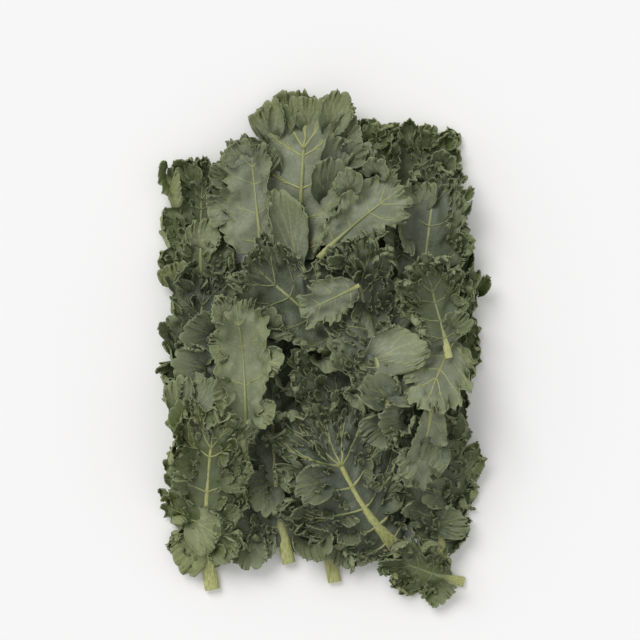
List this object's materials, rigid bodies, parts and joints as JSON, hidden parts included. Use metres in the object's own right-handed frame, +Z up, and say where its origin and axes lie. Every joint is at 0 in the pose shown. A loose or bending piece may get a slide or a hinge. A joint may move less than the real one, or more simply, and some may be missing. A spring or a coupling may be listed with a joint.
{
  "type": "kale bunch",
  "caption": "Loose bunch of whole curly kale leaves lying flat, with ruffled lobed blades, pale midribs and cut stalks at one end.",
  "frame": {"origin": "on the surface that the bunch lies on, under the middle of its box", "axes": "+Z up, +Y from the cut stalks towards the leaf tips, the longest way of the bunch, +X to the right"},
  "size_m": [0.2214, 0.345, 0.0666],
  "materials": {
    "green_leaf": "fresh green leaf, upper side, satin",
    "dark_leaf": "dark green leaf in the shade of the pile, satin",
    "pale_leaf": "pale grey-green leaf, underside, matt"
  },
  "bodies": {
    "root": {"leaf_under_left": "dark_leaf", "leaf_under_right": "dark_leaf", "leaf_under_middle": "dark_leaf", "leaf_under_top": "dark_leaf", "leaf_right_edge": "green_leaf", "leaf_top_right": "green_leaf", "leaf_left_top": "green_leaf", "leaf_top_middle": "green_leaf", "leaf_right_top": "green_leaf", "leaf_middle": "green_leaf", "leaf_bottom_right": "green_leaf", "leaf_right_low": "green_leaf", "leaf_left_middle": "green_leaf", "leaf_pale_edge": "pale_leaf", "leaf_centre": "green_leaf", "leaf_bottom_middle": "green_leaf", "leaf_right_middle": "green_leaf", "leaf_crown": "pale_leaf", "leaf_crown_left": "pale_leaf", "leaf_bottom_left": "green_leaf", "leaf_right_fan": "green_leaf", "leaf_middle_top": "green_leaf", "leaf_pale_top": "pale_leaf", "leaf_pale_left": "pale_leaf", "leaf_pale_middle": "pale_leaf", "leaf_pale_right": "pale_leaf", "leaf_pale_low": "pale_leaf"}
  },
  "joints": []
}
